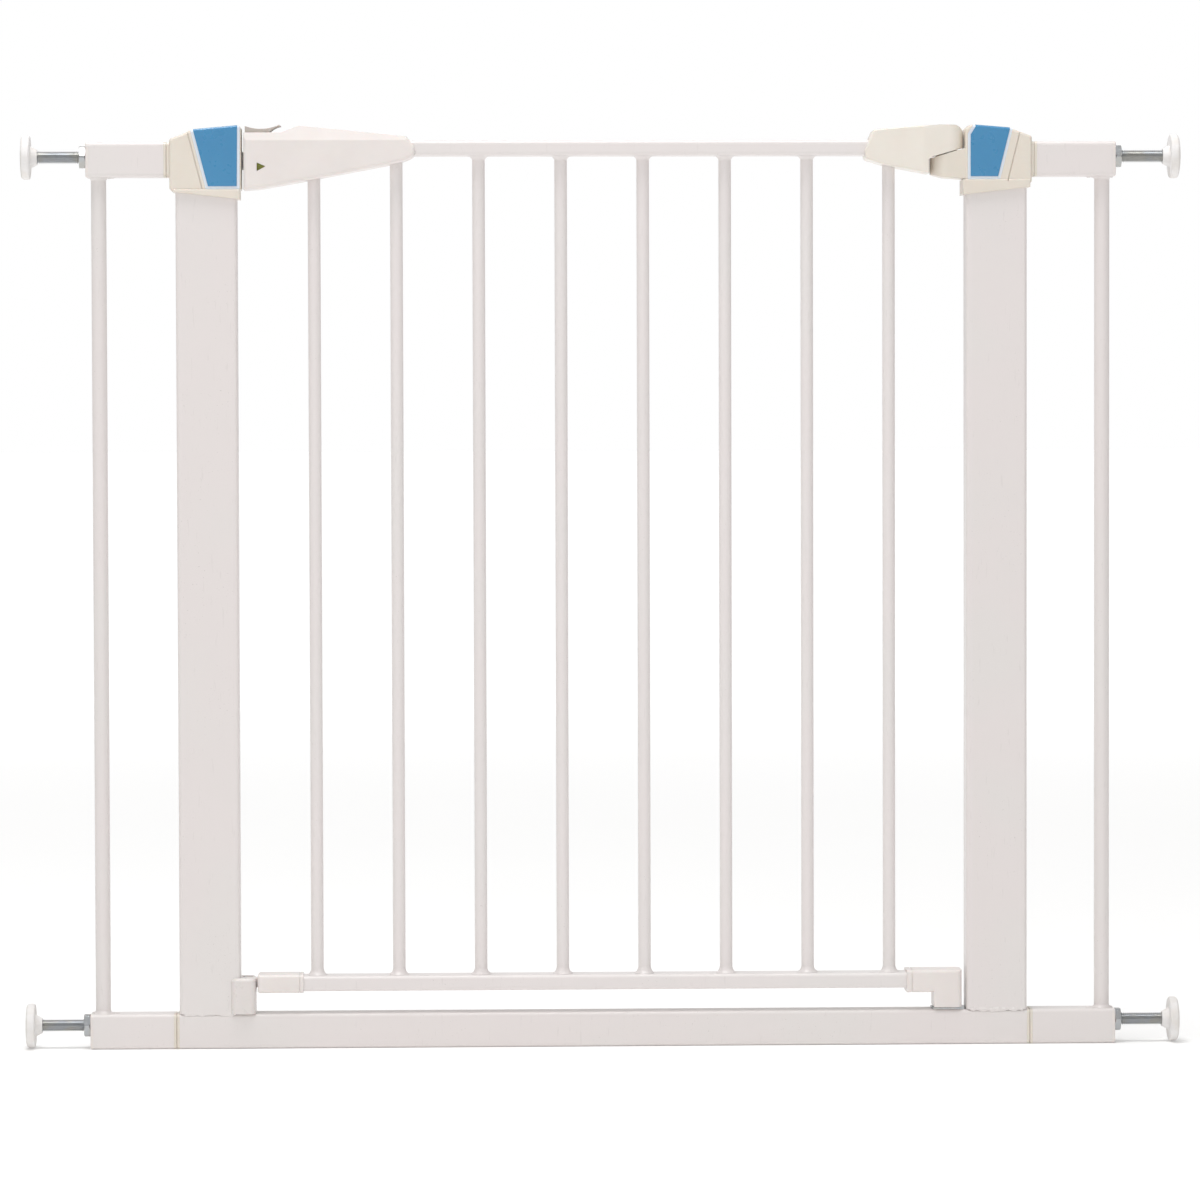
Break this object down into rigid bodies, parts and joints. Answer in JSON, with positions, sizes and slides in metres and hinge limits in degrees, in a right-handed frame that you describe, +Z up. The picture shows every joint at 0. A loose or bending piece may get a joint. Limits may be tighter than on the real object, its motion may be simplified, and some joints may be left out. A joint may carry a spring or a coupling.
{
  "type": "safety baby gate",
  "caption": "Steel safety gate pressed between walls, with a lift-and-swing door, a sliding thumb latch in the handle, short side extensions and screw spindles with round wall pads.",
  "frame": {"origin": "on the floor, at mid width and mid depth of the gate", "axes": "+X along the gate toward the hinge side, +Y toward the rear, where the door opens to, +Z up; the front faces -Y"},
  "size_m": [0.916, 0.035, 0.7302],
  "materials": {
    "frame_paint": "satin powder coat, warm white",
    "door_paint": "satin powder coat, warm white",
    "cream_plastic": "fine moulded grain",
    "white_plastic": "fine moulded grain, slight sheen",
    "blue_plastic": "satin to gloss",
    "pale_trim": "satin",
    "grey_plastic": "fine grain",
    "bolt_plastic": "plain",
    "indicator_green": "plain",
    "bush_plastic": "smooth, waxy",
    "zinc_steel": "zinc plated",
    "pad_rubber": "smooth pale rubber"
  },
  "bodies": {
    "frame": {"threshold_rail": "frame_paint", "left_post": "frame_paint", "right_post": "frame_paint", "left_extension_bar": "frame_paint", "right_extension_bar": "frame_paint", "left_lower_tube": "frame_paint", "left_lower_connector": "cream_plastic", "left_lower_end_cap": "white_plastic", "left_upper_tube": "frame_paint", "left_upper_connector": "cream_plastic", "left_upper_end_cap": "white_plastic", "right_lower_tube": "frame_paint", "right_lower_connector": "cream_plastic", "right_lower_end_cap": "white_plastic", "right_upper_tube": "frame_paint", "right_upper_connector": "cream_plastic", "right_upper_end_cap": "white_plastic", "latch_cap": "cream_plastic", "latch_cap_insert": "blue_plastic", "latch_cap_trim": "pale_trim", "hinge_cap": "cream_plastic", "hinge_cap_insert": "blue_plastic", "hinge_cap_trim": "pale_trim", "lower_hinge_pin": "zinc_steel", "latch_socket": "bolt_plastic", "cap_screws": "zinc_steel"},
    "hinge_bushes": {"upper_hinge_bush": "bush_plastic", "lower_hinge_bush": "bush_plastic"},
    "door": {"door_top_rail": "door_paint", "door_bottom_rail": "door_paint", "door_bar_1": "door_paint", "door_bar_2": "door_paint", "door_bar_3": "door_paint", "door_bar_4": "door_paint", "door_bar_5": "door_paint", "door_bar_6": "door_paint", "door_bar_7": "door_paint", "door_bar_8": "door_paint", "handle_front": "white_plastic", "handle_rear": "white_plastic", "hinge_cover_front": "cream_plastic", "hinge_cover_rear": "cream_plastic", "door_screws": "zinc_steel", "lower_hinge_bracket": "white_plastic", "lower_latch_plug": "white_plastic"},
    "latch_slide": {"thumb_slider": "grey_plastic", "latch_bolt": "bolt_plastic", "latch_indicator": "indicator_green"},
    "left_lower_spindle": {"left_lower_rod": "zinc_steel", "left_lower_pad": "pad_rubber"},
    "left_lower_nut_body": {"left_lower_nut": "zinc_steel"},
    "left_upper_spindle": {"left_upper_rod": "zinc_steel", "left_upper_pad": "pad_rubber"},
    "left_upper_nut_body": {"left_upper_nut": "zinc_steel"},
    "right_lower_spindle": {"right_lower_rod": "zinc_steel", "right_lower_pad": "pad_rubber"},
    "right_lower_nut_body": {"right_lower_nut": "zinc_steel"},
    "right_upper_spindle": {"right_upper_rod": "zinc_steel", "right_upper_pad": "pad_rubber"},
    "right_upper_nut_body": {"right_upper_nut": "zinc_steel"}
  },
  "joints": [
    {"name": "door_lift", "type": "slide", "parent": "frame", "child": "hinge_bushes", "axis": [0, 0, 1], "range_m": [0, 0.012]},
    {"name": "door_swing", "type": "hinge", "parent": "hinge_bushes", "child": "door", "pos_m": [0.2735, 0, 0.365], "axis": [0, 0, -1], "range_deg": [0, 90]},
    {"name": "latch_pull", "type": "slide", "parent": "door", "child": "latch_slide", "axis": [1, 0, 0], "range_m": [0, 0.008], "stiffness_N_per_m": 300, "springref_m": -0.01},
    {"name": "left_lower_nut_spin", "type": "hinge", "parent": "frame", "child": "left_lower_nut_body", "pos_m": [-0.4098, 0, 0.018], "axis": [-1, 0, 0], "range_deg": [-4690, 4690]},
    {"name": "left_lower_spindle_slide", "type": "slide", "parent": "frame", "child": "left_lower_spindle", "axis": [-1, 0, 0], "range_m": [-0.0195, 0.0195]},
    {"name": "left_upper_nut_spin", "type": "hinge", "parent": "frame", "child": "left_upper_nut_body", "pos_m": [-0.4098, 0, 0.705], "axis": [-1, 0, 0], "range_deg": [-4690, 4690]},
    {"name": "left_upper_spindle_slide", "type": "slide", "parent": "frame", "child": "left_upper_spindle", "axis": [-1, 0, 0], "range_m": [-0.0195, 0.0195]},
    {"name": "right_lower_nut_spin", "type": "hinge", "parent": "frame", "child": "right_lower_nut_body", "pos_m": [0.4098, 0, 0.018], "axis": [1, 0, 0], "range_deg": [-4690, 4690]},
    {"name": "right_lower_spindle_slide", "type": "slide", "parent": "frame", "child": "right_lower_spindle", "axis": [1, 0, 0], "range_m": [-0.0195, 0.0195]},
    {"name": "right_upper_nut_spin", "type": "hinge", "parent": "frame", "child": "right_upper_nut_body", "pos_m": [0.4098, 0, 0.705], "axis": [1, 0, 0], "range_deg": [-4690, 4690]},
    {"name": "right_upper_spindle_slide", "type": "slide", "parent": "frame", "child": "right_upper_spindle", "axis": [1, 0, 0], "range_m": [-0.0195, 0.0195]}
  ],
  "couplings": [
    {"joint": "left_lower_nut_spin", "follows": "left_lower_spindle_slide", "rad_per_m": -4188.8},
    {"joint": "left_upper_nut_spin", "follows": "left_upper_spindle_slide", "rad_per_m": -4188.8},
    {"joint": "right_lower_nut_spin", "follows": "right_lower_spindle_slide", "rad_per_m": -4188.8},
    {"joint": "right_upper_nut_spin", "follows": "right_upper_spindle_slide", "rad_per_m": -4188.8}
  ]
}
